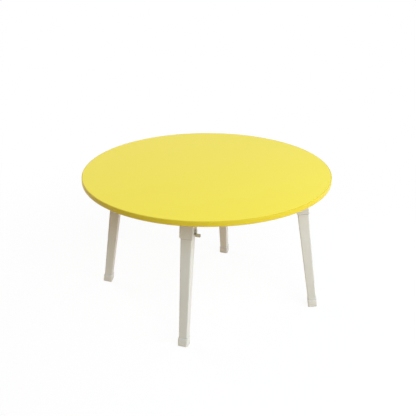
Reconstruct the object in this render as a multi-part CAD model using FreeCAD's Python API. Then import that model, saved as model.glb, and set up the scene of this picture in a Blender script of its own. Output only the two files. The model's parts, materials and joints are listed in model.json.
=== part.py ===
import FreeCAD, Part
import math
import os

# Low round folding table: a faced and edged board on four splayed, tapered steel legs.
# Each leg turns on a rivet in its own bracket and is held open by a leaf-spring latch with a thumb tab.
# Millimetres. The origin is on the floor under the middle of the top, +Z is up,
# the side feet stand on the X axis and the front and back feet on the Y axis.

Vector = FreeCAD.Vector

# Whole table
tableHeight = 350.0
topDiameter = 600.0
legLean = 9.0

# Board of the top
topThickness = 12.0
facingThickness = 0.8
backingThickness = 0.8
bandThickness = 2.0
bandRounding = 1.6

# Where the legs hang: in from the rim, and turned from it so that opposite legs fold side by side
sideHingeInset = 70.0
sideHingeTurn = 7.0
frontHingeInset = 114.0
frontHingeTurn = -3.5
hingeDepth = 20.0

# Tapered square leg tube
legHeadWidth = 28.0
legFootWidth = 19.8
legWall = 1.2
legCornerRadius = 2.4
headReach = 0.1
leastRadius = 0.3

# Foot cap
footWidth = 23.4
footTopWidth = 23.0
footHeight = 20.0
footFloor = 4.0
footPlugHeight = 9.0
footCornerRadius = 3.0
footRimChamfer = 0.7
footFlat = 4.0
footFit = 0.05

# Hinge bracket
bracketSheet = 1.2
bracketReach = 58.5
bracketCorner = 3.0
bracketBend = 1.8
cheekClearance = 0.35
stopClearance = 0.4
cheekBack = 15.0
cheekFlare = 12.0
cheekFlareDrop = 22.0
cheekCorner = 7.0
plateThickness = 1.5
plateFront = 20.0
plateBack = 36.0
plateFlange = 18.0
plateCorner = 7.0

# Hinge rivet and the sleeve that it runs in
pinRadius = 3.0
pinRunning = 0.05
pinHeadRadius = 5.5
pinHeadHeight = 2.2
sleeveWall = 1.4
sleeveEndGap = 0.1
sleeveFit = 0.02

# Spring latch on the bracket's cheek
latchWidth = 10.0
latchSheet = 0.9
latchTop = 17.0
latchRivetDrop = 22.5
latchBendTop = 33.0
latchStepHeight = 9.0
latchStandOff = 3.0
latchBottom = 53.0
noseDrop = 48.0
noseRadius = 2.5
noseDome = 1.4
noseEngagement = 2.2
noseHoleRoom = 0.4
noseSwingRoom = 0.9
tabHeight = 8.0
tabLength = 11.8
tabBend = 1.5
latchRivetRadius = 1.4
latchRivetSpread = 5.0
latchRivetHeadRadius = 2.3
latchRivetHeadHeight = 1.1
rivetFit = 0.02

# Bracket screws
screwRadius = 2.0
screwLength = 10.0
screwTip = 3.0
screwHeadRadius = 4.0
screwHeadHeight = 2.2
screwInset = 8.5
screwHoleRoom = 0.3
screwFit = 0.02
crossLength = 4.4
crossWidth = 0.9
crossDepth = 1.1
pilotSpare = 0.5

# Derived sizes
lean = math.radians(legLean)
through = 2 * tableHeight
boardRadius = topDiameter / 2 - bandThickness
undersideHeight = tableHeight - topThickness
hingeHeight = undersideHeight - hingeDepth
footFlatDepth = footFlat * math.sin(lean) * math.cos(lean)
footMiddleHeight = footWidth / 2 * math.sin(lean) - footFlatDepth
legReach = (hingeHeight - footMiddleHeight) / math.cos(lean)
tubeLength = legReach - footFloor
footThrow = legReach * math.sin(lean)
legTaper = (legHeadWidth - legFootWidth) / 2 / tubeLength
headRadius = legHeadWidth / 2 + headReach
headHalfWidth = legHeadWidth / 2 + legTaper * headRadius
cheekGap = 2 * (headHalfWidth + cheekClearance)
bracketWidth = cheekGap + 2 * bracketSheet
wallLean = legLean - math.degrees(math.atan(legTaper))
wallInner = headRadius + stopClearance
wallOuter = wallInner + bracketSheet
sleeveRadius = pinRadius + pinRunning + sleeveWall
latchStand = bracketWidth / 2 + latchStandOff
noseTip = legHeadWidth / 2 - legTaper * noseDrop - noseEngagement
screwSpread = bracketWidth / 2 + plateFlange - screwInset

xAxis = Vector(1, 0, 0)
yAxis = Vector(0, 1, 0)
zAxis = Vector(0, 0, 1)
middle = Vector(0, 0, 0)

# Each leg: its name, the direction that its foot stands in, and its hinge's inset and turn
legs = [
    ("right", 0, sideHingeInset, sideHingeTurn),
    ("back", 90, frontHingeInset, frontHingeTurn),
    ("left", 180, sideHingeInset, sideHingeTurn),
    ("front", 270, frontHingeInset, frontHingeTurn),
]


def line(start, end):
    return Part.LineSegment(start, end).toShape()


def arc(start, via, end):
    return Part.Arc(start, via, end).toShape()


def corner(centre, radius, fromAngle, toAngle):
    # Quarter bend in the XY plane about a centre
    def at(degrees):
        turn = math.radians(degrees)
        return centre + Vector(radius * math.cos(turn), radius * math.sin(turn), 0)
    return arc(at(fromAngle), at((fromAngle + toAngle) / 2), at(toAngle))


def roundedRectangle(lowX, highX, halfY, radius, height):
    # Closed outline with four round corners, level at one height
    x0 = lowX + radius
    x1 = highX - radius
    y1 = halfY - radius
    return Part.Wire([
        line(Vector(x0, -halfY, height), Vector(x1, -halfY, height)),
        corner(Vector(x1, -y1, height), radius, -90, 0),
        line(Vector(highX, -y1, height), Vector(highX, y1, height)),
        corner(Vector(x1, y1, height), radius, 0, 90),
        line(Vector(x1, halfY, height), Vector(x0, halfY, height)),
        corner(Vector(x0, y1, height), radius, 90, 180),
        line(Vector(lowX, y1, height), Vector(lowX, -y1, height)),
        corner(Vector(x0, -y1, height), radius, 180, 270),
    ])


def levelEdges(shape, height):
    # Edges that lie flat at one height
    def level(edge):
        return max(abs(vertex.Z - height) for vertex in edge.Vertexes) < leastRadius / 2
    return [edge for edge in shape.Edges if level(edge)]


def taperedBar(lowHalf, lowHeight, highHalf, highHeight, radius):
    # Square bar whose flat sides run straight from one width to another, with its long edges rounded
    bar = Part.makeWedge(
        -lowHalf, lowHeight, -lowHalf, -highHalf, -highHalf,
        lowHalf, highHeight, lowHalf, highHalf, highHalf,
    )
    bar.rotate(middle, xAxis, 90)
    level = levelEdges(bar, lowHeight) + levelEdges(bar, highHeight)
    rising = [edge for edge in bar.Edges if not any(edge.isSame(other) for other in level)]
    return bar.makeFillet(radius, rising)


def revolved(points, axisStart, axis):
    # Turned solid from a half outline; a point given with a bulge point before it is reached by an arc
    edges = []
    for before, after in zip(points, points[1:] + points[:1]):
        start = before[-1]
        end = after[-1]
        edges.append(arc(start, after[0], end) if len(after) > 1 else line(start, end))
    face = Part.Face(Part.Wire(edges))
    return face.revolve(axisStart, axis, 360)


def roundBar(radius, start, end):
    return Part.makeCylinder(radius, (end - start).Length, start, end - start)


def leant(shape, degrees):
    # Swings the lower end outwards about the hinge axis
    turned = shape.copy()
    turned.rotate(middle, yAxis, -degrees)
    return turned


def placed(shape, azimuth, inset, turn):
    # From the hinge's own frame to the table's: the hinge stands aside by what its turn throws the foot back
    moved = shape.copy()
    moved.rotate(middle, zAxis, turn)
    moved.translate(Vector(topDiameter / 2 - inset, -footThrow * math.sin(math.radians(turn)), hingeHeight))
    moved.rotate(middle, zAxis, azimuth)
    return moved


def legHalfWidth(drop):
    return legHeadWidth / 2 - legTaper * drop


def domed(seat, radius, height, side):
    # Outline of a round-topped head on its seat: a cap of a ball, measured out from the Y axis and along it
    ball = (radius ** 2 + height ** 2) / (2 * height)
    halfway = math.asin(radius / ball) / 2
    bulge = Vector(ball * math.sin(halfway), seat + side * (height - ball * (1 - math.cos(halfway))), 0)
    return bulge, Vector(0, seat + side * height, 0)


def makeBand():
    # Edging pressed round the board, with both outer edges rounded over
    inner = boardRadius
    outer = topDiameter / 2
    low = undersideHeight
    high = tableHeight
    flat = outer - bandRounding
    back = bandRounding * (1 - math.sin(math.pi / 4))
    return revolved([
        (Vector(inner, 0, low),),
        (Vector(flat, 0, low),),
        (Vector(outer - back, 0, low + back), Vector(outer, 0, low + bandRounding)),
        (Vector(outer, 0, high - bandRounding),),
        (Vector(outer - back, 0, high - back), Vector(flat, 0, high)),
        (Vector(inner, 0, high),),
    ], middle, zAxis)


def screwPlaces():
    # Four corners of the bracket's plate, in the hinge's frame on the table's underside
    return [
        Vector(x, y, hingeDepth)
        for x in (plateFront - screwInset, screwInset - plateBack)
        for y in (-screwSpread, screwSpread)
    ]


def makeScrews():
    # Domed wood screws driven up through the plate
    seat = -plateThickness
    bulge, crown = domed(seat, screwHeadRadius, screwHeadHeight, -1)
    one = revolved([
        (crown,),
        (bulge, Vector(screwHeadRadius, seat, 0)),
        (Vector(screwRadius, seat, 0),),
        (Vector(screwRadius, screwLength - screwTip, 0),),
        (Vector(0, screwLength, 0),),
    ], middle, yAxis)
    one.rotate(middle, xAxis, 90)
    slotLow = -plateThickness - screwHeadHeight - crossDepth
    for length, width in ((crossLength, crossWidth), (crossWidth, crossLength)):
        one = one.cut(Part.makeBox(length, width, 2 * crossDepth, Vector(-length / 2, -width / 2, slotLow)))
    screws = []
    for place in screwPlaces():
        screw = one.copy()
        screw.translate(place)
        screws.append(screw)
    return Part.Compound(screws)


def makeScrewHoles(radius, depth):
    # Drills from the underside up into the board, and down through the plate
    below = zAxis * 2 * plateThickness
    above = zAxis * depth
    return Part.Compound([roundBar(radius, place - below, place + above) for place in screwPlaces()])


def boardDisc(low, high, drills):
    disc = Part.makeCylinder(boardRadius, high - low, Vector(0, 0, low))
    for name, azimuth, inset, turn in legs:
        disc = disc.cut(placed(drills, azimuth, inset, turn))
    return disc


def channelSection():
    # Three-sided pressed channel seen along the leg, open towards the middle of the table
    outer = bracketWidth / 2
    inner = cheekGap / 2
    far = -cheekBack - cheekFlare
    inside = max(bracketBend - bracketSheet, leastRadius)
    outX = wallOuter - bracketBend
    outY = outer - bracketBend
    inX = wallInner - inside
    inY = inner - inside
    return Part.Face(Part.Wire([
        line(Vector(far, -outer, 0), Vector(outX, -outer, 0)),
        corner(Vector(outX, -outY, 0), bracketBend, -90, 0),
        line(Vector(wallOuter, -outY, 0), Vector(wallOuter, outY, 0)),
        corner(Vector(outX, outY, 0), bracketBend, 0, 90),
        line(Vector(outX, outer, 0), Vector(far, outer, 0)),
        line(Vector(far, outer, 0), Vector(far, inner, 0)),
        line(Vector(far, inner, 0), Vector(inX, inner, 0)),
        corner(Vector(inX, inY, 0), inside, 90, 0),
        line(Vector(wallInner, inY, 0), Vector(wallInner, -inY, 0)),
        corner(Vector(inX, -inY, 0), inside, 0, -90),
        line(Vector(inX, -inner, 0), Vector(far, -inner, 0)),
        line(Vector(far, -inner, 0), Vector(far, -outer, 0)),
    ]))


def cheekOutline():
    # Side view of the channel: a flared root under the plate and a round lower corner
    half = bracketWidth
    front = 2 * wallOuter
    back = -cheekBack
    flared = back - cheekFlare
    rise = 2 * hingeDepth
    low = -bracketReach
    bend = cheekCorner * (1 - math.sin(math.pi / 4))

    def at(x, z):
        return Vector(x, -half, z)
    return Part.Face(Part.Wire([
        line(at(front, low), at(back + cheekCorner, low)),
        arc(at(back + cheekCorner, low), at(back + bend, low + bend), at(back, low + cheekCorner)),
        line(at(back, low + cheekCorner), at(back, hingeDepth - cheekFlareDrop)),
        line(at(back, hingeDepth - cheekFlareDrop), at(flared, hingeDepth)),
        line(at(flared, hingeDepth), at(flared, rise)),
        line(at(flared, rise), at(front, rise)),
        line(at(front, rise), at(front, low)),
    ])).extrude(yAxis * 2 * half)


def wallOutline():
    # Front view of the channel: its two lower corners are cut off
    half = bracketWidth / 2
    rise = 2 * hingeDepth
    low = -bracketReach
    corners = [
        (half, rise), (-half, rise), (-half, low + bracketCorner), (bracketCorner - half, low),
        (half - bracketCorner, low), (half, low + bracketCorner), (half, rise),
    ]
    outline = Part.makePolygon([Vector(-2 * bracketWidth, y, z) for y, z in corners])
    return Part.Face(outline).extrude(xAxis * 4 * bracketWidth)


def latchRivetPlaces():
    # In the leg's own axes, before it leans
    return [Vector(x, 0, -latchRivetDrop) for x in (-latchRivetSpread / 2, latchRivetSpread / 2)]


def bigBlock(top):
    # Block that takes in all of a piece below one height
    return Part.makeBox(through, through, through, Vector(-through / 2, -through / 2, top - through))


def makeBracket():
    # Pressed channel under a screw plate, with the rivet's holes and the latch's holes in its cheeks
    channel = channelSection().extrude(zAxis * through)
    channel.translate(-zAxis * through / 2)
    channel = leant(channel.common(cheekOutline()).common(wallOutline()), wallLean)
    low = hingeDepth - plateThickness
    channel = channel.common(bigBlock(low))
    outline = roundedRectangle(-plateBack, plateFront, bracketWidth / 2 + plateFlange, plateCorner, low)
    plate = Part.Face(outline).extrude(zAxis * plateThickness)
    bracket = channel.fuse(plate).removeSplitter()
    bracket = bracket.cut(roundBar(pinRadius + rivetFit, -yAxis * bracketWidth, yAxis * bracketWidth))
    nose = roundBar(noseRadius + noseSwingRoom, Vector(0, 0, -noseDrop), Vector(0, bracketWidth, -noseDrop))
    bracket = bracket.cut(leant(nose, legLean))
    for place in latchRivetPlaces():
        hole = roundBar(latchRivetRadius + rivetFit, place, place + yAxis * bracketWidth)
        bracket = bracket.cut(leant(hole, legLean))
    return bracket.cut(makeScrewHoles(screwRadius + screwHoleRoom, 2 * plateThickness))


def makeTube():
    # Tapered tube with a head rounded about the hinge, holed for the sleeve and for the latch's nose
    rise = 2 * headRadius
    insideCorner = max(legCornerRadius - legWall, leastRadius)
    outside = taperedBar(legHalfWidth(tubeLength), -tubeLength, legHalfWidth(-rise), rise, legCornerRadius)
    hollow = taperedBar(
        legHalfWidth(tubeLength + rise) - legWall,
        -tubeLength - rise,
        legHalfWidth(-2 * rise) - legWall,
        2 * rise,
        insideCorner,
    )
    head = roundBar(headRadius, -yAxis * through, yAxis * through)
    tube = outside.common(bigBlock(0).fuse(head)).cut(hollow)
    tube = tube.cut(roundBar(sleeveRadius + sleeveFit, -yAxis * through, yAxis * through))
    nose = -zAxis * noseDrop
    return tube.cut(roundBar(noseRadius + noseHoleRoom, nose, nose + yAxis * through))


def makeSleeve():
    # Spacer tube across the leg's head that carries the leg on its rivet
    half = cheekGap / 2 - sleeveEndGap
    bore = roundBar(pinRadius + pinRunning, -yAxis * through, yAxis * through)
    return roundBar(sleeveRadius, -yAxis * half, yAxis * half).cut(bore)


def makeFootCap():
    # Moulded cup over the tube's end, with a plug inside it and the edge that stands worn flat
    low = -legReach
    high = low + footHeight
    seat = -tubeLength
    body = taperedBar(footWidth / 2, low, footTopWidth / 2, high, footCornerRadius)
    body = body.makeChamfer(footRimChamfer, levelEdges(body, high))
    socket = taperedBar(
        legHalfWidth(-seat) + footFit,
        seat,
        legHalfWidth(-seat - footHeight) + footFit,
        seat + footHeight,
        legCornerRadius,
    )
    plug = taperedBar(
        legHalfWidth(-seat) - legWall - footFit,
        seat,
        legHalfWidth(-seat - footPlugHeight) - legWall - footFit,
        seat + footPlugHeight,
        max(legCornerRadius - legWall, leastRadius),
    )
    cap = leant(body.cut(socket).fuse(plug).removeSplitter(), legLean)
    floor = bigBlock(-hingeHeight)
    floor.translate(xAxis * footThrow)
    return cap.cut(floor)


def makePin():
    # Rivet through both cheeks, with a domed head on each
    seat = bracketWidth / 2
    nearBulge, nearCrown = domed(-seat, pinHeadRadius, pinHeadHeight, -1)
    farBulge, farCrown = domed(seat, pinHeadRadius, pinHeadHeight, 1)
    return revolved([
        (nearCrown,),
        (nearBulge, Vector(pinHeadRadius, -seat, 0)),
        (Vector(pinRadius, -seat, 0),),
        (Vector(pinRadius, seat, 0),),
        (Vector(pinHeadRadius, seat, 0),),
        (farBulge, farCrown),
    ], middle, yAxis)


def makeLatch():
    # Leaf spring that steps out from the cheek, with a round nose inwards and a thumb tab outwards
    near = bracketWidth / 2 + latchSheet / 2
    far = latchStand + latchSheet / 2
    half = (far - near) / 2
    bendLow = latchBendTop + latchStepHeight
    bendMiddle = (latchBendTop + bendLow) / 2
    stepRadius = (latchStepHeight ** 2 + (far - near) ** 2) / (4 * (far - near))
    swing = math.atan2(far - near, latchStepHeight)
    sagOut = stepRadius * (1 - math.cos(swing))
    sagDown = stepRadius * math.sin(swing)

    def at(y, drop):
        return Vector(0, y, -drop)
    path = Part.Wire([
        line(at(near, latchTop), at(near, latchBendTop)),
        arc(at(near, latchBendTop), at(near + sagOut, latchBendTop + sagDown), at(near + half, bendMiddle)),
        arc(at(near + half, bendMiddle), at(far - sagOut, bendLow - sagDown), at(far, bendLow)),
        line(at(far, bendLow), at(far, latchBottom)),
    ])
    section = Part.makePolygon([
        Vector(x * latchWidth / 2, near + y * latchSheet / 2, -latchTop)
        for x, y in ((-1, -1), (1, -1), (1, 1), (-1, 1), (-1, -1))
    ])
    leaf = path.makePipeShell([section], True, False)
    edge = latchWidth / 2
    bent = edge + tabBend
    turn = tabBend * (1 - math.sin(math.pi / 4))
    tabTop = latchBottom - tabHeight

    def level(x, y):
        return Vector(x, y, -tabTop)
    tabPath = Part.Wire([
        line(level(0, far), level(edge, far)),
        arc(level(edge, far), level(bent - turn, far + turn), level(bent, far + tabBend)),
        line(level(bent, far + tabBend), level(bent, far + tabLength)),
    ])
    tabSection = Part.makePolygon([
        Vector(0, far + y * latchSheet / 2, -tabTop - z * tabHeight)
        for y, z in ((-1, 0), (1, 0), (1, 1), (-1, 1), (-1, 0))
    ])
    tab = tabPath.makePipeShell([tabSection], True, False)
    bulge, crown = domed(noseTip + noseDome, noseRadius, noseDome, -1)
    nose = revolved([
        (crown,),
        (bulge, Vector(noseRadius, noseTip + noseDome, 0)),
        (Vector(noseRadius, far, 0),),
        (Vector(0, far, 0),),
    ], middle, yAxis)
    nose.translate(-zAxis * noseDrop)
    latch = leaf.fuse([tab, nose]).removeSplitter()
    for place in latchRivetPlaces():
        latch = latch.cut(roundBar(latchRivetRadius + rivetFit, place, place + yAxis * 2 * far))
    return leant(latch, legLean)


def makeLatchRivets():
    # Pair of small rivets that hold the leaf's upper end on the cheek
    seat = bracketWidth / 2 + latchSheet
    bulge, crown = domed(seat, latchRivetHeadRadius, latchRivetHeadHeight, 1)
    one = revolved([
        (Vector(0, cheekGap / 2, 0),),
        (Vector(latchRivetRadius, cheekGap / 2, 0),),
        (Vector(latchRivetRadius, seat, 0),),
        (Vector(latchRivetHeadRadius, seat, 0),),
        (bulge, crown),
    ], middle, yAxis)
    rivets = []
    for place in latchRivetPlaces():
        rivet = one.copy()
        rivet.translate(place)
        rivets.append(leant(rivet, legLean))
    return Part.Compound(rivets)


def makeTop():
    # Board, its two facings and the edging round them
    pilots = makeScrewHoles(screwRadius + screwFit, screwLength + pilotSpare)
    low = undersideHeight
    high = tableHeight
    return {
        "top_core": boardDisc(low + backingThickness, high - facingThickness, pilots),
        "top_facing": Part.makeCylinder(boardRadius, facingThickness, Vector(0, 0, high - facingThickness)),
        "back_facing": boardDisc(low, low + backingThickness, pilots),
        "edge_band": makeBand(),
    }


def makeLegSet():
    # Everything that belongs to one leg, in the hinge's own frame
    return {
        "hinge_bracket": makeBracket(),
        "bracket_screws": makeScrews(),
        "hinge_pin": makePin(),
        "hinge_sleeve": leant(makeSleeve(), legLean),
        "leg_tube": leant(makeTube(), legLean),
        "foot_cap": makeFootCap(),
        "latch_spring": makeLatch(),
        "latch_rivets": makeLatchRivets(),
    }


def main():
    os.makedirs("parts", exist_ok=True)
    nodes = makeTop()
    for piece, shape in makeLegSet().items():
        for name, azimuth, inset, turn in legs:
            nodes[piece + "_" + name] = placed(shape, azimuth, inset, turn)
    for node, shape in nodes.items():
        shape.exportStep("parts/" + node + ".step")


main()
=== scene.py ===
import json
import math

import bmesh
import bpy
import numpy as np
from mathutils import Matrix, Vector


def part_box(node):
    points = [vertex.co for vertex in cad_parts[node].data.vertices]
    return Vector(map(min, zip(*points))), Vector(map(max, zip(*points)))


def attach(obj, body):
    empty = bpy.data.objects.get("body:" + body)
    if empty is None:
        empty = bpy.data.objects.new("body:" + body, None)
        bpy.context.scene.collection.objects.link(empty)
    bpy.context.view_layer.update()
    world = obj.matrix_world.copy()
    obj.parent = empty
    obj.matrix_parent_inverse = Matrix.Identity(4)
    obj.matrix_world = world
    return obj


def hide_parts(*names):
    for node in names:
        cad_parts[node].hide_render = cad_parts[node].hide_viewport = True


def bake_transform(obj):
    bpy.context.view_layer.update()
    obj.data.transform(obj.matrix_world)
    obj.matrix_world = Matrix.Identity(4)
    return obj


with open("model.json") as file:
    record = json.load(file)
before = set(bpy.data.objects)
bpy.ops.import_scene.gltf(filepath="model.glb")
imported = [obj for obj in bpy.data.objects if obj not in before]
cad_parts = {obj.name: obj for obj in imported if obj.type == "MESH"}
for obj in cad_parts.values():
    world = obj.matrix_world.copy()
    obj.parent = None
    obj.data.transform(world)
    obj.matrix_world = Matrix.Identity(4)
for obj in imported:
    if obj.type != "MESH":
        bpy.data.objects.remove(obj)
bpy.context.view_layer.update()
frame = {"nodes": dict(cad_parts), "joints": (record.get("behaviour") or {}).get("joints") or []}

nodes = frame["nodes"]
joints = {joint["name"]: joint for joint in frame["joints"]}
legNames = ["right", "back", "left", "front"]
mm = 0.001  # shapes are worked out in millimetres and put down in metres
hair = 1e-6  # points or shares closer than this are taken as one


# Shapes on grids

def gridFaces(rows, columns, wrapRows, wrapColumns):
    # a quad joins each grid point to the next row and the next column;
    # a wrapped side goes back to its first line
    row, column = np.meshgrid(
        np.arange(rows if wrapRows else rows - 1),
        np.arange(columns if wrapColumns else columns - 1),
        indexing="ij",
    )
    nextRow = (row + 1) % rows
    nextColumn = (column + 1) % columns
    quads = [
        row * columns + column,
        row * columns + nextColumn,
        nextRow * columns + nextColumn,
        nextRow * columns + column,
    ]
    return np.stack(quads, axis=-1).reshape(-1, 4)


def shell(grid, wrapRows=False, wrapColumns=True):
    # a grid of rows by columns of points, as one list of points and its quads
    rows, columns = grid.shape[:2]
    return grid.reshape(-1, 3), gridFaces(rows, columns, wrapRows, wrapColumns)


def joined(shells):
    # one list of points: each shell's quads are moved on by the count of the points before it
    pointLists, quadLists = zip(*shells)
    starts = np.cumsum([0] + [len(points) for points in pointLists[:-1]])
    moved = [quads + start for quads, start in zip(quadLists, starts)]
    return np.concatenate(pointLists), np.concatenate(moved)


def capped(grid):
    # a first and a last row drawn together at the middle of their neighbours, which close both ends
    first = np.broadcast_to(grid[:1].mean(axis=1, keepdims=True), grid[:1].shape)
    last = np.broadcast_to(grid[-1:].mean(axis=1, keepdims=True), grid[-1:].shape)
    return np.concatenate([first, grid, last])


def eased(corners, radii, steps=7):
    # closed outline with round corners: each corner becomes an arc of its radius, whose two ends lie
    # radius / tan(half the corner's angle) away along both sides, and the arc turns evenly between them
    corner = np.asarray(corners, float)
    radius = np.asarray(radii, float)[:, None]
    back = np.roll(corner, 1, axis=0) - corner
    onward = np.roll(corner, -1, axis=0) - corner
    back /= np.linalg.norm(back, axis=1, keepdims=True)
    onward /= np.linalg.norm(onward, axis=1, keepdims=True)
    half = np.arccos(np.clip((back * onward).sum(axis=1), -1, 1))[:, None] / 2
    inward = (back + onward) / np.linalg.norm(back + onward, axis=1, keepdims=True)
    centre = corner + inward * radius / np.sin(half)
    begin = corner + back * radius / np.tan(half) - centre
    end = corner + onward * radius / np.tan(half) - centre
    turn = (math.pi - 2 * half)[:, None]
    share = np.linspace(0, 1, steps)[None, :, None]
    fromBegin = np.sin((1 - share) * turn) * begin[:, None]
    fromEnd = np.sin(share * turn) * end[:, None]
    arcs = (fromBegin + fromEnd) / np.sin(turn)
    return (centre[:, None] + arcs).reshape(-1, 2)


def turned(outline, steps, first=0.0, last=2 * math.pi, endpoint=False):
    # outline of (radius, height) carried round the upright axis: rows follow the turn, columns the outline
    angle = np.linspace(first, last, steps, endpoint=endpoint)[:, None]
    radius = outline[None, :, 0]
    height = np.broadcast_to(outline[None, :, 1], (steps, len(outline)))
    return np.stack([radius * np.cos(angle), radius * np.sin(angle), height], axis=-1)


def dome(radius, height, seat, steps=10):
    # round head: a cap of a ball, from its seat's edge to its crown, as (radius, height)
    ball = (radius ** 2 + height ** 2) / (2 * height)
    angle = np.linspace(math.asin(radius / ball), 0, steps)
    return np.stack([ball * np.sin(angle), seat + height - ball * (1 - np.cos(angle))], axis=-1)


def roundSquare(cornerSteps=7, flatSteps=9):
    # once round a square with round corners: reach is the place of a corner's centre, or between two of
    # them along a flat, as a share of the half width; out is the way that the corner's radius then adds
    quarter = np.linspace(0, math.pi / 2, cornerSteps)
    flat = np.linspace(-1, 1, flatSteps + 2)[1:-1]
    bend = np.stack([np.cos(quarter), np.sin(quarter)], axis=-1)
    side = np.concatenate([np.stack([np.ones(flatSteps), flat], axis=-1), np.ones((cornerSteps, 2))])
    away = np.concatenate([np.tile([1.0, 0.0], (flatSteps, 1)), bend])
    turns = [
        np.array([[math.cos(angle), math.sin(angle)], [-math.sin(angle), math.cos(angle)]])
        for angle in np.arange(4) * math.pi / 2
    ]
    reach = np.concatenate([side @ turn for turn in turns])
    out = np.concatenate([away @ turn for turn in turns])
    return reach, out


def putPiece(name, shape, finish, replaced, sharp=35):
    # quads into a mesh: poles and seams welded, faces turned outwards, smooth up to the sharp angle
    points, quads = shape
    mesh = bpy.data.meshes.new(name)
    mesh.from_pydata((points * mm).tolist(), [], quads.tolist())
    work = bmesh.new()
    work.from_mesh(mesh)
    bmesh.ops.remove_doubles(work, verts=work.verts, dist=hair)
    bmesh.ops.recalc_face_normals(work, faces=work.faces)
    work.to_mesh(mesh)
    work.free()
    mesh.polygons.foreach_set("use_smooth", np.ones(len(mesh.polygons), bool))
    mesh.set_sharp_from_angle(angle=math.radians(sharp))
    mesh.materials.append(finish)
    piece = bpy.data.objects.new(name, mesh)
    bpy.context.scene.collection.objects.link(piece)
    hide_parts(*replaced)
    return piece


# Finishes

class Wire:
    # one socket of a finish's nodes; sums and products of wires add Math nodes
    def __init__(self, tree, socket=None):
        self.tree = tree
        self.socket = socket

    def node(self, kind, settings=None, inputs=None, output=0):
        made = self.tree.nodes.new(kind)
        for name, value in (settings or {}).items():
            setattr(made, name, value)
        for name, value in (inputs or {}).items():
            if isinstance(value, Wire):
                self.tree.links.new(value.socket, made.inputs[name])
            else:
                made.inputs[name].default_value = value
        return Wire(self.tree, made.outputs[output] if len(made.outputs) else None)

    def maths(self, operation, first, second):
        return self.node("ShaderNodeMath", {"operation": operation}, {0: first, 1: second})

    def __add__(self, other):
        return self.maths("ADD", self, other)

    def __radd__(self, other):
        return self.maths("ADD", other, self)

    def __sub__(self, other):
        return self.maths("SUBTRACT", self, other)

    def __rsub__(self, other):
        return self.maths("SUBTRACT", other, self)

    def __mul__(self, other):
        return self.maths("MULTIPLY", self, other)

    def __rmul__(self, other):
        return self.maths("MULTIPLY", other, self)

    def __abs__(self):
        return self.node("ShaderNodeMath", {"operation": "ABSOLUTE"}, {0: self})

    def swing(self, amount):
        # how far a noise is from its middle, a half, times an amount
        return amount * (self - 0.5)

    def ranged(self, low, high, atLow, atHigh, kind="LINEAR"):
        # carried from low..high to atLow..atHigh, and held beyond both
        return self.node("ShaderNodeMapRange", {"clamp": True, "interpolation_type": kind}, {
            "Value": self, "From Min": low, "From Max": high, "To Min": atLow, "To Max": atHigh,
        })

    def height(self, place):
        return self.node("ShaderNodeSeparateXYZ", {}, {0: place}, 2)

    def noise(self, place, scale, detail=2.0, roughness=0.5):
        return self.node("ShaderNodeTexNoise", {}, {
            "Vector": place, "Scale": scale, "Detail": detail, "Roughness": roughness,
        })

    def mixed(self, share, first, second):
        return self.node("ShaderNodeMix", {"data_type": "RGBA"}, {0: share, 6: first, 7: second}, 2)

    def stretched(self, place, scale):
        return self.node("ShaderNodeMapping", {}, {"Vector": place, "Scale": scale})

    def bumped(self, height, look):
        return self.node("ShaderNodeBump", {}, {
            "Height": height, "Strength": look["bump"], "Distance": look["bumpDepth"],
        })

    def surface(self, **sockets):
        named = {name.replace("_", " "): value for name, value in sockets.items()}
        shader = self.node("ShaderNodeBsdfPrincipled", {}, named)
        self.node("ShaderNodeOutputMaterial", {}, {"Surface": shader})


def newFinish(name):
    # an empty node tree and its object coordinates
    material = bpy.data.materials.new(name)
    material.use_nodes = True
    material.node_tree.nodes.clear()
    start = Wire(material.node_tree)
    return material, start, start.node("ShaderNodeTexCoord", output=3)


def rgba(colour):
    return (*colour, 1.0)


# In the looks below, a scale is a noise's waves to the metre, a share is how much a noise counts in the
# tone, a relief is how much it counts in the bump, a gloss is how far it moves the roughness, and heights,
# halves and depths are metres

topLook = {
    "colour": (0.892, 0.738, 0.041),
    "paler": (0.902, 0.750, 0.046),
    "cloudScale": 5.0,
    "handledScale": 30.0,
    "pebbleScale": 1500.0,
    "roughness": 0.36,
    "handledGloss": 0.10,
    "pebbleGloss": 0.06,
    "bump": 0.06,
    "bumpDepth": 0.0001,
    "specular": 0.3,
}


def makeTopLaminate(look):
    # plain pressed laminate: nearly even in tone, with a fine pebble and a sheen changed by hands
    material, sheet, place = newFinish("topLaminate")
    cloud = sheet.noise(place, look["cloudScale"], detail=3.0)
    pebble = sheet.noise(place, look["pebbleScale"], detail=3.0, roughness=0.6)
    handled = sheet.noise(place, look["handledScale"], detail=4.0, roughness=0.65)
    gloss = handled.swing(look["handledGloss"])
    sheet.surface(
        Base_Color=sheet.mixed(cloud, rgba(look["colour"]), rgba(look["paler"])),
        Roughness=look["roughness"] + gloss + pebble.swing(look["pebbleGloss"]),
        Normal=sheet.bumped(pebble, look),
        Specular_IOR_Level=look["specular"],
    )
    return material


edgeLook = {
    "colour": (0.680, 0.524, 0.033),
    "deeper": (0.646, 0.488, 0.027),
    "drawnScale": (14.0, 14.0, 2600.0),
    "cloudScale": 9.0,
    "grainScale": 1800.0,
    "cloudShare": 0.6,
    "drawnShare": 0.3,
    "roughness": 0.42,
    "drawnGloss": 0.12,
    "drawnRelief": 0.7,
    "grainRelief": 0.3,
    "bump": 0.08,
    "bumpDepth": 0.0001,
    "specular": 0.3,
}


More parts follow.
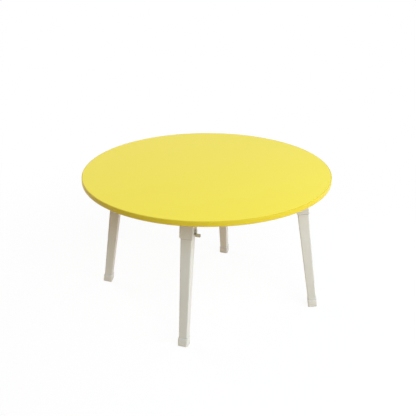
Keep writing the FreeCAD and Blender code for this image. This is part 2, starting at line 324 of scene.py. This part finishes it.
def makeEdgePlastic(look):
    # drawn edging: fine lines along it, a light grain and a slow change of tone
    material, band, place = newFinish("edgePlastic")
    drawn = band.noise(band.stretched(place, look["drawnScale"]), 1.0, detail=3.0)
    cloud = band.noise(place, look["cloudScale"], detail=3.0)
    grain = band.noise(place, look["grainScale"])
    share = cloud * look["cloudShare"] + drawn * look["drawnShare"]
    band.surface(
        Base_Color=band.mixed(share, rgba(look["colour"]), rgba(look["deeper"])),
        Roughness=look["roughness"] + drawn.swing(look["drawnGloss"]),
        Normal=band.bumped(drawn * look["drawnRelief"] + grain * look["grainRelief"], look),
        Specular_IOR_Level=look["specular"],
    )
    return material


paintLook = {
    "colour": (0.660, 0.648, 0.628),
    "thin": (0.640, 0.626, 0.604),
    # painted shade under the bracket's lower edge: its dark colour, its height, its half width, and its
    # least strength among the specks
    "paintedShade": (0.330, 0.318, 0.298),
    "paintedShadeHeight": 0.2614,
    "paintedShadeHalf": 0.0011,
    "paintedShadeLeast": 0.6,
    "peelScale": 780.0,
    "speckScale": 2600.0,
    "cloudScale": 22.0,
    "cloudShare": 0.8,
    "peelShare": 0.2,
    "roughness": 0.40,
    "speckGloss": 0.10,
    "cloudGloss": 0.08,
    "peelRelief": 0.8,
    "speckRelief": 0.2,
    "bump": 0.16,
    "bumpDepth": 0.00012,
    "specular": 0.35,
}


def makeIvoryPaint(name, look, paintedShade=False):
    # baked powder coat: soft orange peel with fine specks, a little uneven in tone; on a leg, a fine
    # line of painted shade, broken up by the specks, lies where the bracket's lower edge shades it
    material, coat, place = newFinish(name)
    peel = coat.noise(place, look["peelScale"], detail=1.5, roughness=0.4)
    speck = coat.noise(place, look["speckScale"], detail=1.0)
    cloud = coat.noise(place, look["cloudScale"], detail=3.0)
    share = cloud * look["cloudShare"] + peel * look["peelShare"]
    tone = coat.mixed(share, rgba(look["colour"]), rgba(look["thin"]))
    if paintedShade:
        # painted shade: darker paint in a thin band at the height of the bracket's lower edge, standing in
        # for the shadow that the edge casts on the leg
        away = abs(coat.height(place) - look["paintedShadeHeight"])
        line = away.ranged(0.0, look["paintedShadeHalf"], 1.0, 0.0)
        patchy = look["paintedShadeLeast"] + (1 - look["paintedShadeLeast"]) * speck
        tone = coat.mixed(line * patchy, tone, rgba(look["paintedShade"]))
    gloss = speck.swing(look["speckGloss"])
    coat.surface(
        Base_Color=tone,
        Roughness=look["roughness"] + gloss + cloud.swing(look["cloudGloss"]),
        Normal=coat.bumped(peel * look["peelRelief"] + speck * look["speckRelief"], look),
        Specular_IOR_Level=look["specular"],
    )
    return material


footLook = {
    "colour": (0.670, 0.658, 0.640),
    "scuffed": (0.590, 0.570, 0.540),
    "grainScale": 1500.0,
    "scuffScale": (260.0, 260.0, 900.0),
    "scuffHeight": 0.010,
    "scuffLeast": 0.45,
    "scuffMost": 0.70,
    "roughness": 0.50,
    "grainGloss": 0.10,
    "wornGloss": 0.15,
    "wornRelief": 0.5,
    "bump": 0.12,
    "bumpDepth": 0.0001,
    "specular": 0.35,
}


def makeFootPlastic(look):
    # moulded cap: fine spark-eroded grain, and scuffs that gather near the ground
    material, cap, place = newFinish("footPlastic")
    grain = cap.noise(place, look["grainScale"])
    scuff = cap.noise(cap.stretched(place, look["scuffScale"]), 1.0, detail=4.0, roughness=0.65)
    low = cap.height(place).ranged(0.0, look["scuffHeight"], 1.0, 0.0)
    worn = low * scuff.ranged(look["scuffLeast"], look["scuffMost"], 0.0, 1.0)
    cap.surface(
        Base_Color=cap.mixed(worn, rgba(look["colour"]), rgba(look["scuffed"])),
        Roughness=look["roughness"] + grain.swing(look["grainGloss"]) + look["wornGloss"] * worn,
        Normal=cap.bumped(grain + look["wornRelief"] * worn, look),
        Specular_IOR_Level=look["specular"],
    )
    return material


zincLook = {
    "gold": (0.385, 0.325, 0.180),
    "straw": (0.430, 0.388, 0.262),
    "bloom": (0.330, 0.305, 0.235),
    "patchScale": 160.0,
    "driftScale": 432.0,
    "grainScale": 3000.0,
    "bloomShare": 0.5,
    "roughness": 0.34,
    "driftGloss": 0.14,
    "bump": 0.06,
    "bumpDepth": 0.00005,
    "metallic": 0.85,
}


def makeYellowZinc(look):
    # passivated spring steel: gold that drifts to straw and a dull bloom
    material, plate, place = newFinish("yellowZinc")
    patch = plate.noise(place, look["patchScale"], detail=3.0)
    drift = plate.noise(place, look["driftScale"])
    grain = plate.noise(place, look["grainScale"])
    gold = plate.mixed(patch, rgba(look["gold"]), rgba(look["straw"]))
    plate.surface(
        Base_Color=plate.mixed(drift * look["bloomShare"], gold, rgba(look["bloom"])),
        Roughness=look["roughness"] + drift.swing(look["driftGloss"]),
        Normal=plate.bumped(grain, look),
        Metallic=look["metallic"],
    )
    return material


steelLook = {
    "bright": (0.760, 0.765, 0.770),
    "dull": (0.620, 0.625, 0.640),
    "spangleScale": 420.0,
    "driftScale": 300.0,
    "driftShare": 0.5,
    "spangleShare": 0.4,
    "roughness": 0.30,
    "driftGloss": 0.15,
    "bump": 0.05,
    "bumpDepth": 0.00005,
}


def makeBrightZinc(look):
    # clear zinc on rivets and screws: small spangles and a slow drift from bright to dull
    material, plate, place = newFinish("brightZinc")
    spangle = plate.node("ShaderNodeTexVoronoi", {}, {"Vector": place, "Scale": look["spangleScale"]})
    drift = plate.noise(place, look["driftScale"], detail=3.0)
    share = look["driftShare"] * drift + look["spangleShare"] * spangle
    plate.surface(
        Base_Color=plate.mixed(share, rgba(look["bright"]), rgba(look["dull"])),
        Roughness=look["roughness"] + drift.swing(look["driftGloss"]),
        Normal=plate.bumped(drift, look),
        Metallic=1.0,
    )
    return material


sleeveLook = {
    "steel": (0.560, 0.555, 0.545),
    "oiled": (0.400, 0.385, 0.360),
    "drawnScale": 900.0,
    "oilScale": 180.0,
    "roughness": 0.38,
    "drawnGloss": 0.20,
    "bump": 0.08,
    "bumpDepth": 0.00005,
}


def makeSleeveSteel(look):
    # drawn tube, a little oily
    material, tube, place = newFinish("sleeveSteel")
    drawn = tube.noise(place, look["drawnScale"], detail=3.0)
    oil = tube.noise(place, look["oilScale"], detail=3.0)
    tube.surface(
        Base_Color=tube.mixed(oil, rgba(look["steel"]), rgba(look["oiled"])),
        Roughness=look["roughness"] + drawn.swing(look["drawnGloss"]),
        Normal=tube.bumped(drawn, look),
        Metallic=1.0,
    )
    return material


backLook = {
    "colour": (0.745, 0.725, 0.680),
    "fibre": (0.690, 0.665, 0.610),
    "fibreScale": (420.0, 90.0, 420.0),
    "cloudScale": 14.0,
    "fibreShare": 0.5,
    "cloudShare": 0.4,
    "roughness": 0.58,
    "fibreGloss": 0.15,
    "bump": 0.08,
    "bumpDepth": 0.0001,
}


def makeBackPaper(look):
    # balancing sheet: resin paper with short fibres in it
    material, paper, place = newFinish("backPaper")
    fibre = paper.noise(paper.stretched(place, look["fibreScale"]), 1.0, detail=4.0, roughness=0.6)
    cloud = paper.noise(place, look["cloudScale"], detail=4.0)
    share = look["fibreShare"] * fibre + look["cloudShare"] * cloud
    paper.surface(
        Base_Color=paper.mixed(share, rgba(look["colour"]), rgba(look["fibre"])),
        Roughness=look["roughness"] + fibre.swing(look["fibreGloss"]),
        Normal=paper.bumped(fibre, look),
    )
    return material


boardLook = {
    "fibre": (0.420, 0.290, 0.170),
    "binder": (0.310, 0.205, 0.115),
    "fibreScale": (900.0, 900.0, 2400.0),
    "roughness": 0.85,
    "bump": 0.3,
    "bumpDepth": 0.0002,
}


def makeBoardFibre(look):
    # pressed fibreboard, brown and matt
    material, board, place = newFinish("boardFibre")
    fibre = board.noise(board.stretched(place, look["fibreScale"]), 1.0, detail=5.0, roughness=0.7)
    board.surface(
        Base_Color=board.mixed(fibre, rgba(look["fibre"]), rgba(look["binder"])),
        Roughness=look["roughness"],
        Normal=board.bumped(fibre, look),
    )
    return material


topLaminate = makeTopLaminate(topLook)
edgePlastic = makeEdgePlastic(edgeLook)
ivoryPaint = makeIvoryPaint("ivoryPaint", paintLook)
# the legs' coat carries the painted shade line under the brackets
legPaint = makeIvoryPaint("legPaint", paintLook, paintedShade=True)
footPlastic = makeFootPlastic(footLook)
yellowZinc = makeYellowZinc(zincLook)
brightZinc = makeBrightZinc(steelLook)
sleeveSteel = makeSleeveSteel(sleeveLook)
backPaper = makeBackPaper(backLook)
boardFibre = makeBoardFibre(boardLook)
print("finishes made")


# Round top

sheetSizes = {"ease": 0.2, "easeSteps": 4, "rings": 6, "steps": 288}


def makeSheet(node, sizes):
    # turned plate: a flat disc with a thickness, its rim eased; heights and radius are the frame's
    low, high = (np.array(corner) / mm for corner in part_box(node))
    radius = high[0]
    ease = sizes["ease"]
    easeSteps = sizes["easeSteps"]
    corners = [(0, high[2]), (radius, high[2]), (radius, low[2]), (0, low[2])]
    rim = eased(corners, [0, ease, ease, 0], easeSteps)[easeSteps:-easeSteps]
    rings = np.linspace(0, radius - 2 * ease, sizes["rings"])
    top = np.stack([rings, np.full_like(rings, high[2])], axis=-1)
    under = np.stack([rings[::-1], np.full_like(rings, low[2])], axis=-1)
    outline = np.concatenate([top, rim, under])
    return shell(turned(outline, sizes["steps"]), wrapRows=True, wrapColumns=False)


for node, name, finish, slotName in [
    ("top_facing", "topSheet", topLaminate, "top_laminate"),
    ("back_facing", "backSheet", backPaper, "back_laminate"),
]:
    sheet = putPiece(name, makeSheet(node, sheetSizes), finish, [node])
    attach(sheet, "table_top")

bandSizes = {
    "thickness": 2.0,
    "rounding": 1.6,
    "innerEase": 0.2,
    "roundSteps": 9,
    "seamAngle": 100.0,
    "seamGap": 0.25,
    "steps": 320,
}


def makeBand(sizes):
    # turned strip: its section, round at both outer edges, goes once round the board and meets itself
    # in a butt seam
    low, high = (np.array(corner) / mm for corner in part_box("edge_band"))
    outer = high[0]
    inner = outer - sizes["thickness"]
    soft = sizes["innerEase"]
    bend = sizes["rounding"]
    corners = [(inner, low[2]), (outer, low[2]), (outer, high[2]), (inner, high[2])]
    section = eased(corners, [soft, bend, bend, soft], sizes["roundSteps"])
    first = math.radians(sizes["seamAngle"]) + sizes["seamGap"] / outer / 2
    last = first + 2 * math.pi - sizes["seamGap"] / outer
    return shell(capped(turned(section, sizes["steps"], first, last, endpoint=True)))


band = putPiece("edgeBand", makeBand(bandSizes), edgePlastic, ["edge_band"])
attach(band, "table_top")
print("top made")


# Legs

def legAxes(leg):
    # the hinge's place, and the leg's own axes: outwards across it, along its rivet, and up along it
    across = np.array(joints["release_" + leg]["axis"])
    along = np.array(joints["fold_" + leg]["axis"])
    hinge = np.array(joints["fold_" + leg]["pos_m"]) / mm
    return hinge, np.stack([across, along, np.cross(across, along)])


def onLeg(shape, leg):
    # from the leg's own axes to the table's
    hinge, axes = legAxes(leg)
    points, quads = shape
    return points @ axes + hinge, quads


legSizes = {
    "headWidth": 28.0,
    "footWidth": 19.8,
    "length": 316.74,
    "wall": 1.2,
    "corner": 2.4,
    "headRadius": 14.1,
    "headRounds": 4,  # times that the head's curve is worked out again
    "holeDrop": 48.0,
    "holeRadius": 2.9,
    "patchReach": 5.0,  # half of the square of cells that holds the latch's hole
    "patchCells": 8,
    "lowRings": (250.0, 180.0, 110.0, 70.0),  # drops of the rings below that square
    "highRings": (28.0, 14.0),  # and above it
}


def legHalf(sizes, height):
    # half width of the tapered tube at a height above its hinge
    slope = (sizes["headWidth"] - sizes["footWidth"]) / 2 / sizes["length"]
    return sizes["headWidth"] / 2 + slope * height


def makeLegTube(sizes):
    # rounded square carried up the leg: its half width grows evenly with height, and each column ends at
    # the top where it meets a round head about the hinge; the inner skin is the same, a wall further in
    cells = sizes["patchCells"]
    share = sizes["patchReach"] / (legHalf(sizes, -sizes["holeDrop"]) - sizes["corner"])
    flat = np.concatenate([
        np.linspace(-1, -share, cells // 2 + 1)[1:-1],
        np.linspace(-share, share, cells + 1),
        np.linspace(share, 1, cells // 2 + 1)[1:-1],
    ])
    # points along the flats slide to where the square of cells needs them
    reach, out = roundSquare(flatSteps=len(flat))
    onFlat = np.abs(out).max(axis=1) > 1 - hair
    sliding = onFlat & (np.abs(reach).min(axis=1) < 1 - hair)
    even = np.linspace(-1, 1, len(flat) + 2)
    slide = np.interp(reach, even, np.concatenate([[-1], flat, [1]]))
    reach = np.where(sliding[:, None], slide, reach)
    patch = np.linspace(-1, 1, cells + 1) * sizes["patchReach"] - sizes["holeDrop"]
    levels = np.concatenate([
        [-sizes["length"]], np.negative(sizes["lowRings"]), patch, np.negative(sizes["highRings"]),
    ])

    def skin(inset):
        corner = sizes["corner"] - inset
        half = (legHalf(sizes, levels) - inset)[:, None, None]
        body = np.concatenate([
            reach * (half - corner) + out * corner,
            np.broadcast_to(levels[:, None, None], (len(levels), len(reach), 1)),
        ], axis=-1)
        top = np.zeros(len(reach))
        for settle in range(sizes["headRounds"]):
            half = (legHalf(sizes, top) - inset)[:, None]
            around = reach * (half - corner) + out * corner
            top = np.sqrt(np.maximum(sizes["headRadius"] ** 2 - around[:, 0] ** 2, 0))
        return np.concatenate([body, np.concatenate([around, top[:, None]], axis=-1)[None]])

    outer = skin(0.0)
    inner = skin(sizes["wall"])
    points, quads = shell(np.concatenate([outer, inner[::-1]]), wrapRows=True)
    # the latch's hole: the square of cells is left out of both skins, on the latch's side
    side = np.flatnonzero((out[:, 1] > 1 - hair) & (np.abs(reach[:, 0]) < share + hair))
    low = int(np.argmin(np.abs(levels - patch[0])))
    inPatch = np.zeros(outer.shape[:2], bool)
    inPatch[low:low + cells, side[:-1]] = True
    both = np.concatenate([inPatch, np.roll(inPatch, 1, axis=0)[::-1]])
    quads = quads[~both.reshape(-1)]
    loopRow = np.concatenate([
        np.full(cells, low), np.arange(low, low + cells),
        np.full(cells, low + cells), np.arange(low + cells, low, -1),
    ])
    loopColumn = np.concatenate([
        side[:-1], np.full(cells, side[-1]), side[:0:-1], np.full(cells, side[0]),
    ])

    def holeEdge(skinGrid):
        # the square's border drawn in to a circle about the hole's middle, in the wall's own plane
        border = skinGrid[loopRow, loopColumn]
        middle = border.mean(axis=0)
        spoke = border - middle
        return border, middle + spoke * (sizes["holeRadius"] / np.linalg.norm(spoke, axis=1, keepdims=True))

    outerBorder, outerEdge = holeEdge(outer)
    innerBorder, innerEdge = holeEdge(inner)
    hole = shell(np.stack([outerBorder, outerEdge, innerEdge, innerBorder]))
    return joined([(points, quads), hole])


footSizes = {
    "width": 23.4,
    "topWidth": 23.0,
    "height": 20.0,
    "floor": 4.0,
    "corner": 3.0,
    "lowEase": 1.2,
    "rimEase": 0.7,
    "mouthEase": 0.25,
    "easeSteps": 7,
    "flatSteps": 5,
    "flatHeight": 0.0,
}


def makeFootCap(sizes, leg):
    # rounded square carried up the leg's end: out along its floor, round its lower edge, up its drafted
    # side, over its rim and down inside on the tube; what would dip below the ground is worn flat there
    low = -legSizes["length"] - sizes["floor"]
    high = low + sizes["height"]
    seat = -legSizes["length"]
    halfTop = sizes["topWidth"] / 2
    steps = sizes["easeSteps"]
    corners = [
        (0, low), (sizes["width"] / 2, low), (halfTop, high),
        (legHalf(legSizes, high), high), (legHalf(legSizes, seat), seat), (0, seat),
    ]
    radii = [0, sizes["lowEase"], sizes["rimEase"], sizes["mouthEase"], 0, 0]
    section = eased(corners, radii, steps)[steps - 1:1 - steps]
    reach, out = roundSquare(flatSteps=sizes["flatSteps"])
    size = section[:, 0][:, None, None]
    corner = np.minimum(sizes["corner"], size * sizes["corner"] / halfTop)
    around = reach * (size - corner) + out * corner
    height = np.broadcast_to(section[:, 1][:, None, None], around.shape[:2] + (1,))
    points, quads = onLeg(shell(np.concatenate([around, height], axis=-1)), leg)
    points[:, 2] = np.maximum(points[:, 2], sizes["flatHeight"])
    return points, quads


for leg in legNames:
    tubeShape = onLeg(makeLegTube(legSizes), leg)
    tube = putPiece("legTube_" + leg, tubeShape, legPaint, ["leg_tube_" + leg])
    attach(tube, "leg_" + leg)
    capShape = makeFootCap(footSizes, leg)
    cap = putPiece("footCap_" + leg, capShape, footPlastic, ["foot_cap_" + leg])
    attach(cap, "leg_" + leg)
print("legs made")


# Hinge rivets and spring latches

def acrossLeg(outline, steps, x=0.0, z=0.0):
    # turned piece whose axis lies along the rivet: (radius, distance along it) about a place on the leg
    around = turned(outline, steps)
    grid = np.stack([around[..., 0] + x, around[..., 2], around[..., 1] + z], axis=-1)
    return shell(grid, wrapRows=True, wrapColumns=False)


rivetSizes = {
    "radius": 3.0,
    "headRadius": 5.5,
    "headHeight": 2.2,
    "cheekRoom": 0.35,
    "cheekSheet": 1.2,
    "steps": 48,
}


def cheekFace(sizes):
    # how far out the bracket's cheek reaches: the leg's half width at its head, running room and the sheet
    return legHalf(legSizes, legSizes["headRadius"]) + sizes["cheekRoom"] + sizes["cheekSheet"]


def makeHingeRivet(sizes):
    # shank between two ball-cap heads that sit on the cheeks
    seat = cheekFace(sizes)
    far = dome(sizes["headRadius"], sizes["headHeight"], seat)
    near = far[::-1] * (1, -1)
    shank = np.array([(sizes["radius"], -seat), (sizes["radius"], seat)])
    return acrossLeg(np.concatenate([near, shank, far]), sizes["steps"])


latchSizes = {
    "width": 10.0,
    "sheet": 0.9,
    "top": 17.0,
    "bendTop": 33.0,
    "stepHeight": 9.0,
    "standOff": 3.0,
    "bottom": 53.0,
    "endRounding": 2.6,
    "edgeEase": 0.18,
    "endSteps": 9,
    "bendSteps": 25,
    "noseDrop": 48.0,
    "noseRadius": 2.5,
    "noseDome": 1.4,
    "noseDepth": 2.2,
    "noseHeadRadius": 3.4,
    "noseHeadHeight": 0.9,
    "noseHeadSteps": 8,
    "noseSteps": 40,
    "tabHeight": 8.0,
    "tabLength": 11.8,
    "tabBend": 1.5,
    "tabRounding": 2.0,
    "tabLap": 0.4,  # the tab starts this far inside the leaf's edge
    "tabThinner": 0.02,  # keeps its faces out of the leaf's own
    "rivetDrop": 22.5,
    "rivetSpread": 5.0,
    "rivetRadius": 1.4,
    "rivetHeadRadius": 2.3,
    "rivetHeadHeight": 1.1,
    "rivetSteps": 32,
    "rootDrop": 24.8,
}


def stripSection(width, sheet, ease, cornerSteps=4):
    # thin rectangle with eased edges, as shares of its half width and as distances from its middle plane
    half = width / 2
    deep = sheet / 2
    corners = [(-half, -deep), (half, -deep), (half, deep), (-half, deep)]
    outline = eased(corners, [ease] * len(corners), cornerSteps)
    return outline[:, 0] / half, outline[:, 1]


def roundEnd(distance, half, radius):
    # half width of a strip near an end with round corners: a quarter circle over the last stretch
    inside = np.clip(distance, 0, radius)
    return half - radius + np.sqrt(np.maximum(radius ** 2 - (radius - inside) ** 2, 0))


def makeLeaf(sizes):
    # strip carried down the cheek: flat, then out in two equal arcs that meet halfway, then flat again
    near = cheekFace(rivetSizes) + sizes["sheet"] / 2
    far = near + sizes["standOff"]
    step = sizes["stepHeight"]
    out = far - near
    bend = (step ** 2 + out ** 2) / (4 * out)
    drop = np.concatenate([
        np.linspace(sizes["top"], sizes["top"] + sizes["endRounding"], sizes["endSteps"]),
        np.linspace(sizes["bendTop"], sizes["bendTop"] + step, sizes["bendSteps"]),
        np.linspace(sizes["bottom"] - sizes["endRounding"], sizes["bottom"], sizes["endSteps"]),
    ])
    along = np.clip(drop - sizes["bendTop"], 0, step)
    nearest = np.minimum(along, step - along)
    bulge = bend - np.sqrt(bend ** 2 - nearest ** 2)
    y = np.where(along < step / 2, near + bulge, far - bulge)
    slope = np.arctan2(np.gradient(y), np.gradient(drop))
    half = np.minimum(
        roundEnd(drop - sizes["top"], sizes["width"] / 2, sizes["endRounding"]),
        roundEnd(sizes["bottom"] - drop, sizes["width"] / 2, sizes["endRounding"]),
    )
    across, through = stripSection(sizes["width"], sizes["sheet"], sizes["edgeEase"])
    grid = np.stack([
        half[:, None] * across,
        y[:, None] + through * np.cos(slope)[:, None],
        -drop[:, None] + through * np.sin(slope)[:, None],
    ], axis=-1)
    return shell(capped(grid)), far


def makeTab(sizes, far):
    # strip carried out of the leaf's edge and round a quarter bend, with round corners at its free end
    edge = sizes["width"] / 2
    bend = sizes["tabBend"]
    length = sizes["tabLength"]
    steps = sizes["endSteps"]
    quarter = np.linspace(0, math.pi / 2, steps)
    last = np.linspace(length - sizes["tabRounding"], length, steps)
    x = np.concatenate([
        [edge - sizes["tabLap"]], edge + bend * np.sin(quarter), np.full(steps, edge + bend),
    ])
    y = np.concatenate([[far], far + bend * (1 - np.cos(quarter)), far + last])
    heading = np.concatenate([[0.0], quarter, np.full(steps, math.pi / 2)])
    before = np.concatenate([np.full(steps + 1, length), length - last])
    half = roundEnd(before, sizes["tabHeight"] / 2, sizes["tabRounding"])
    sheet = sizes["sheet"] - sizes["tabThinner"]
    upright, through = stripSection(sizes["tabHeight"], sheet, sizes["edgeEase"])
    grid = np.stack([
        x[:, None] - through * np.sin(heading)[:, None],
        y[:, None] + through * np.cos(heading)[:, None],
        sizes["tabHeight"] / 2 - sizes["bottom"] + half[:, None] * upright,
    ], axis=-1)
    return shell(capped(grid))


def makeNose(sizes, far):
    # round stud through the leaf: a domed tip towards the leg and a low head outside
    tip = dome(sizes["noseRadius"], sizes["noseDome"], 0.0)[::-1]
    inside = legHalf(legSizes, -sizes["noseDrop"]) - sizes["noseDepth"]
    tip = np.stack([tip[:, 0], inside + sizes["noseDome"] - tip[:, 1]], axis=-1)
    seat = far + sizes["sheet"] / 2
    body = np.array([(sizes["noseRadius"], seat)])
    head = dome(sizes["noseHeadRadius"], sizes["noseHeadHeight"], seat, sizes["noseHeadSteps"])
    return acrossLeg(np.concatenate([tip, body, head]), sizes["noseSteps"], z=-sizes["noseDrop"])


def makeLeafRivets(sizes):
    # pair of small rivets from inside the cheek to ball-cap heads on the leaf
    cheek = cheekFace(rivetSizes)
    seat = cheek + sizes["sheet"]
    tail = cheek - rivetSizes["cheekSheet"]
    shank = np.array([(0, tail), (sizes["rivetRadius"], tail), (sizes["rivetRadius"], seat)])
    outline = np.concatenate([shank, dome(sizes["rivetHeadRadius"], sizes["rivetHeadHeight"], seat)])
    places = (-sizes["rivetSpread"] / 2, sizes["rivetSpread"] / 2)
    return joined([acrossLeg(outline, sizes["rivetSteps"], x, -sizes["rivetDrop"]) for x in places])


leaf, leafPlane = makeLeaf(latchSizes)
latch = joined([leaf, makeTab(latchSizes, leafPlane), makeNose(latchSizes, leafPlane)])
for leg in legNames:
    rivet = putPiece(
        "hingeRivet_" + leg, onLeg(makeHingeRivet(rivetSizes), leg),
        brightZinc, ["hinge_pin_" + leg],
    )
    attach(rivet, "table_top")
    pair = putPiece(
        "leafRivets_" + leg, onLeg(makeLeafRivets(latchSizes), leg),
        brightZinc, ["latch_rivets_" + leg],
    )
    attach(pair, "table_top")
    spring = putPiece(
        "latchLeaf_" + leg, onLeg(latch, leg),
        yellowZinc, ["latch_spring_" + leg],
    )
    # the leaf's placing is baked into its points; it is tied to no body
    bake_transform(spring)
print("rivets and latches made")


# Pieces shown as they come from the frame

frameFinishes = {
    "top_core": boardFibre,
    "hinge_bracket": ivoryPaint,
    "bracket_screws": brightZinc,
    "hinge_sleeve": sleeveSteel,
}
for node, part in nodes.items():
    for begins, finish in frameFinishes.items():
        if node.startswith(begins):
            part.data.materials.clear()
            part.data.materials.append(finish)
print("frame pieces finished")


# Floor, light and camera

stageLook = {
    "floorHalf": 6.0,
    "floorColour": (0.80, 0.59, 0.33),  # what the light meets
    "seenColour": (0.95, 0.95, 0.95),  # what the camera meets
    "glow": (1.0, 1.0, 1.0),
    "floorWhite": 0.92,
    "nearWhite": 0.45,
    "farWhite": 1.30,
    "worldColour": (1.00, 0.82, 0.50),
    "worldLevel": 0.06,
}


def isSeen(start):
    # 1 for what the camera sees, straight or in a reflection or through glass
    straight, glossy, through = (
        start.node("ShaderNodeLightPath", output="Is " + way + " Ray")
        for way in ("Camera", "Glossy", "Transmission")
    )
    return start.maths("MAXIMUM", straight, start.maths("MAXIMUM", glossy, through))


def makeFloor(look):
    # white sweep to the eye, a warm matt floor to the light; the table's shadow stays in its matt share
    material, ground, place = newFinish("paleFloor")
    distance = ground.node("ShaderNodeVectorMath", {"operation": "LENGTH"}, {0: place}, 1)
    white = distance.ranged(look["nearWhite"], look["farWhite"], look["floorWhite"], 1.0, "SMOOTHSTEP")
    seen = isSeen(ground)
    tone = ground.mixed(seen, rgba(look["floorColour"]), rgba(look["seenColour"]))
    matt = ground.node("ShaderNodeBsdfDiffuse", {}, {"Color": tone})
    glow = ground.node("ShaderNodeEmission", {}, {"Color": rgba(look["glow"]), "Strength": 1.0})
    shown = ground.node("ShaderNodeMixShader", {}, {0: white * seen, 1: matt, 2: glow})
    ground.node("ShaderNodeOutputMaterial", {}, {"Surface": shown})
    half = look["floorHalf"]
    corners = [(-half, -half, 0), (half, -half, 0), (half, half, 0), (-half, half, 0)]
    mesh = bpy.data.meshes.new("floor")
    mesh.from_pydata(corners, [], [(0, 1, 2, 3)])
    mesh.materials.append(material)
    floor = bpy.data.objects.new("floor", mesh)
    bpy.context.scene.collection.objects.link(floor)


def makeWorld(look):
    # white to the eye, a low warm fill to the light
    world = bpy.data.worlds.new("studio")
    world.use_nodes = True
    world.node_tree.nodes.clear()
    sky = Wire(world.node_tree)
    soft, white = (
        sky.node("ShaderNodeBackground", {}, {"Color": rgba(colour), "Strength": level})
        for colour, level in ((look["worldColour"], look["worldLevel"]), (look["glow"], 1.0))
    )
    both = sky.node("ShaderNodeMixShader", {}, {0: isSeen(sky), 1: soft, 2: white})
    sky.node("ShaderNodeOutputWorld", {}, {"Surface": both})
    bpy.context.scene.world = world


def aimed(target, place):
    # turns an object's own -Z from its place to a target, upright
    look = np.array(target) - np.array(place)
    level = math.hypot(look[0], look[1])
    return (math.atan2(level, -look[2]), 0.0, math.atan2(-look[0], look[1]))


lampTarget = (0.0, 0.0, 0.25)
lampLook = {
    "window": {
        "place": (1.531, -0.465, 0.85), "width": 1.2, "height": 0.6,
        "watts": 18.0, "colour": (0.785, 0.91, 1.00),
    },
    "front": {
        "place": (2.093, -3.211, 3.022), "width": 2.9, "height": 2.9,
        "watts": 141.5, "colour": (0.82, 0.945, 1.00),
    },
    "backRight": {
        "place": (2.16, 2.34, 1.42), "width": 2.1, "height": 1.4,
        "watts": 43.0, "colour": (0.97, 0.97, 1.00),
    },
    "backLeft": {
        "place": (-2.90, 1.15, 1.50), "width": 2.1, "height": 1.4,
        "watts": 49.0, "colour": (0.97, 0.97, 1.00),
    },
    "ceiling": {
        "place": (-0.60, 0.20, 2.30), "width": 2.0, "height": 2.0,
        "watts": 12.0, "colour": (1.00, 0.92, 0.80),
    },
}


def makeLamps(lamps, target):
    # soft panels that the camera doesn't see, straight or mirrored in the top
    for name, lamp in lamps.items():
        data = bpy.data.lights.new(name, "AREA")
        data.shape = "RECTANGLE"
        data.size = lamp["width"]
        data.size_y = lamp["height"]
        data.energy = lamp["watts"]
        data.color = lamp["colour"]
        holder = bpy.data.objects.new(name, data)
        holder.location = lamp["place"]
        holder.rotation_euler = aimed(target, lamp["place"])
        holder.visible_camera = False
        holder.visible_glossy = False
        bpy.context.scene.collection.objects.link(holder)


cameraSizes = {
    "place": (0.3086, -1.3266, 0.8546),
    "pitchDown": 24.0832,
    "heading": 12.968,
    "lens": 51.43,
    "sensor": 36.0,
}


def makeCamera(sizes):
    data = bpy.data.cameras.new("camera")
    data.lens = sizes["lens"]
    data.sensor_width = sizes["sensor"]
    camera = bpy.data.objects.new("camera", data)
    camera.location = sizes["place"]
    camera.rotation_euler = (math.radians(90 - sizes["pitchDown"]), 0.0, math.radians(sizes["heading"]))
    bpy.context.scene.collection.objects.link(camera)
    bpy.context.scene.camera = camera


makeFloor(stageLook)
makeWorld(stageLook)
makeLamps(lampLook, lampTarget)
makeCamera(cameraSizes)
bpy.context.scene.view_settings.view_transform = "Standard"
print("stage, light and camera set")
